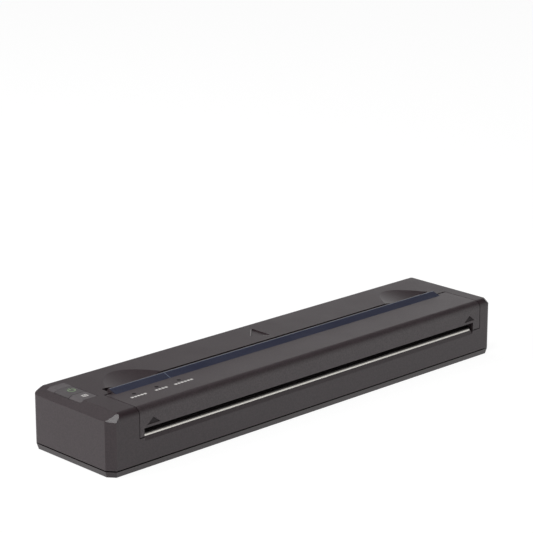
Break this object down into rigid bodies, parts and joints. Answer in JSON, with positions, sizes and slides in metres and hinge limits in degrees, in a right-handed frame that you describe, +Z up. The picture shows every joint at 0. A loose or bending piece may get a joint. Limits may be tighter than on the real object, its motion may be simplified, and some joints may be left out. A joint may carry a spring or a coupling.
{
  "type": "a4 portable thermal printer",
  "caption": "Slim bar-shaped portable thermal printer with a front feed slot, a hinged release cover that carries the platen, and two keys at one end.",
  "frame": {"origin": "centre of the footprint, on the plane that the feet stand on", "axes": "+X along the length, away from the keys; -Y towards the feed slot; +Z up"},
  "size_m": [0.255, 0.055, 0.0314],
  "materials": {
    "case_plastic": "fine texture",
    "base_plastic": "fine texture",
    "cover_plastic": "fine texture",
    "panel_plastic": "satin",
    "blue_trim": "satin",
    "pale_strip": "satin",
    "black_plastic": "moulded",
    "gear_plastic": "moulded acetal",
    "platen_rubber": "ground silicone",
    "foot_rubber": "matt",
    "sheet_steel": "zinc plated",
    "bright_steel": "ground",
    "aluminium": "extruded",
    "ceramic": "glazed",
    "brass": "turned",
    "circuit_board": "solder mask",
    "component_black": "moulded",
    "flat_cable": "polyimide",
    "clear_plastic": "moulded",
    "battery_wrap": "satin",
    "dome_film": "film"
  },
  "bodies": {
    "housing": {"upper_case": "case_plastic", "lower_case": "base_plastic", "rubber_feet": "foot_rubber", "case_screws": "sheet_steel", "hinge_pins": "bright_steel", "gear_studs": "bright_steel", "motor_bracket": "sheet_steel", "motor_body": "sheet_steel", "motor_screws": "bright_steel", "motor_cable": "black_plastic", "chassis_frame": "sheet_steel", "chassis_screws": "bright_steel", "lower_paper_guide": "black_plastic", "feed_lip_strip": "pale_strip", "paper_sensor": "component_black", "cover_switch": "component_black", "head_pivot_rod": "bright_steel", "head_pivot_stands": "black_plastic", "head_springs": "bright_steel", "head_flex_cable": "flat_cable", "main_board": "circuit_board", "board_components": "component_black", "board_screws": "sheet_steel", "radio_module": "sheet_steel", "port_board": "circuit_board", "dc_jack": "component_black", "usb_c_socket": "bright_steel", "panel_inlay": "panel_plastic", "key_board": "circuit_board", "key_dome_sheet": "dome_film", "key_screws": "sheet_steel", "battery_pack": "battery_wrap", "battery_contacts": "component_black", "door_pin": "bright_steel"},
    "release_cover": {"cover_shell": "cover_plastic", "blue_strip": "blue_trim", "cover_inner_frame": "black_plastic", "light_pipes": "clear_plastic", "indicator_board": "circuit_board", "platen_bushes": "brass"},
    "platen": {"platen_shaft": "bright_steel", "platen_rubber": "platen_rubber", "platen_clip": "sheet_steel", "platen_gear": "gear_plastic"},
    "idler_gear": {"idler_gear": "gear_plastic"},
    "reduction_gear": {"reduction_gear": "gear_plastic"},
    "motor_rotor": {"motor_pinion": "brass"},
    "print_head": {"head_substrate": "ceramic", "head_heat_sink": "aluminium"},
    "feed_key": {"feed_key": "panel_plastic"},
    "power_key": {"power_key": "panel_plastic"},
    "battery_door": {"battery_door": "case_plastic"}
  },
  "joints": [
    {"name": "cover_hinge", "type": "hinge", "parent": "housing", "child": "release_cover", "pos_m": [0, -0.0239, 0.0186], "axis": [1, 0, 0], "range_deg": [0, 50]},
    {"name": "platen_spin", "type": "hinge", "parent": "release_cover", "child": "platen", "pos_m": [0, -0.0023, 0.0219], "axis": [1, 0, 0], "continuous": true},
    {"name": "idler_spin", "type": "hinge", "parent": "housing", "child": "idler_gear", "pos_m": [0, -0.00076, 0.01182], "axis": [1, 0, 0], "continuous": true},
    {"name": "reduction_spin", "type": "hinge", "parent": "housing", "child": "reduction_gear", "pos_m": [0, 0.00703, 0.01632], "axis": [1, 0, 0], "continuous": true},
    {"name": "motor_spin", "type": "hinge", "parent": "housing", "child": "motor_rotor", "pos_m": [0, 0.01643, 0.0106], "axis": [1, 0, 0], "continuous": true},
    {"name": "head_tilt", "type": "hinge", "parent": "housing", "child": "print_head", "pos_m": [0, 0.0056, 0.0132], "axis": [-1, 0, 0], "range_deg": [0, 1.5], "stiffness_Nm_per_rad": 2, "springref_deg": -2.86, "deforming": ["head_springs"]},
    {"name": "feed_key_press", "type": "slide", "parent": "housing", "child": "feed_key", "axis": [0, 0, -1], "range_m": [0, 0.0005], "stiffness_N_per_m": 300, "springref_m": -0.0003},
    {"name": "power_key_press", "type": "slide", "parent": "housing", "child": "power_key", "axis": [0, 0, -1], "range_m": [0, 0.0005], "stiffness_N_per_m": 300, "springref_m": -0.0003},
    {"name": "battery_door_hinge", "type": "hinge", "parent": "housing", "child": "battery_door", "pos_m": [0.1259, 0.0096, 0.0138], "axis": [0, 0, -1], "range_deg": [0, 90]}
  ],
  "couplings": [
    {"joint": "idler_spin", "follows": "platen_spin", "ratio": -0.88889},
    {"joint": "reduction_spin", "follows": "platen_spin", "ratio": 1.3333},
    {"joint": "motor_spin", "follows": "platen_spin", "ratio": -4.5333}
  ]
}
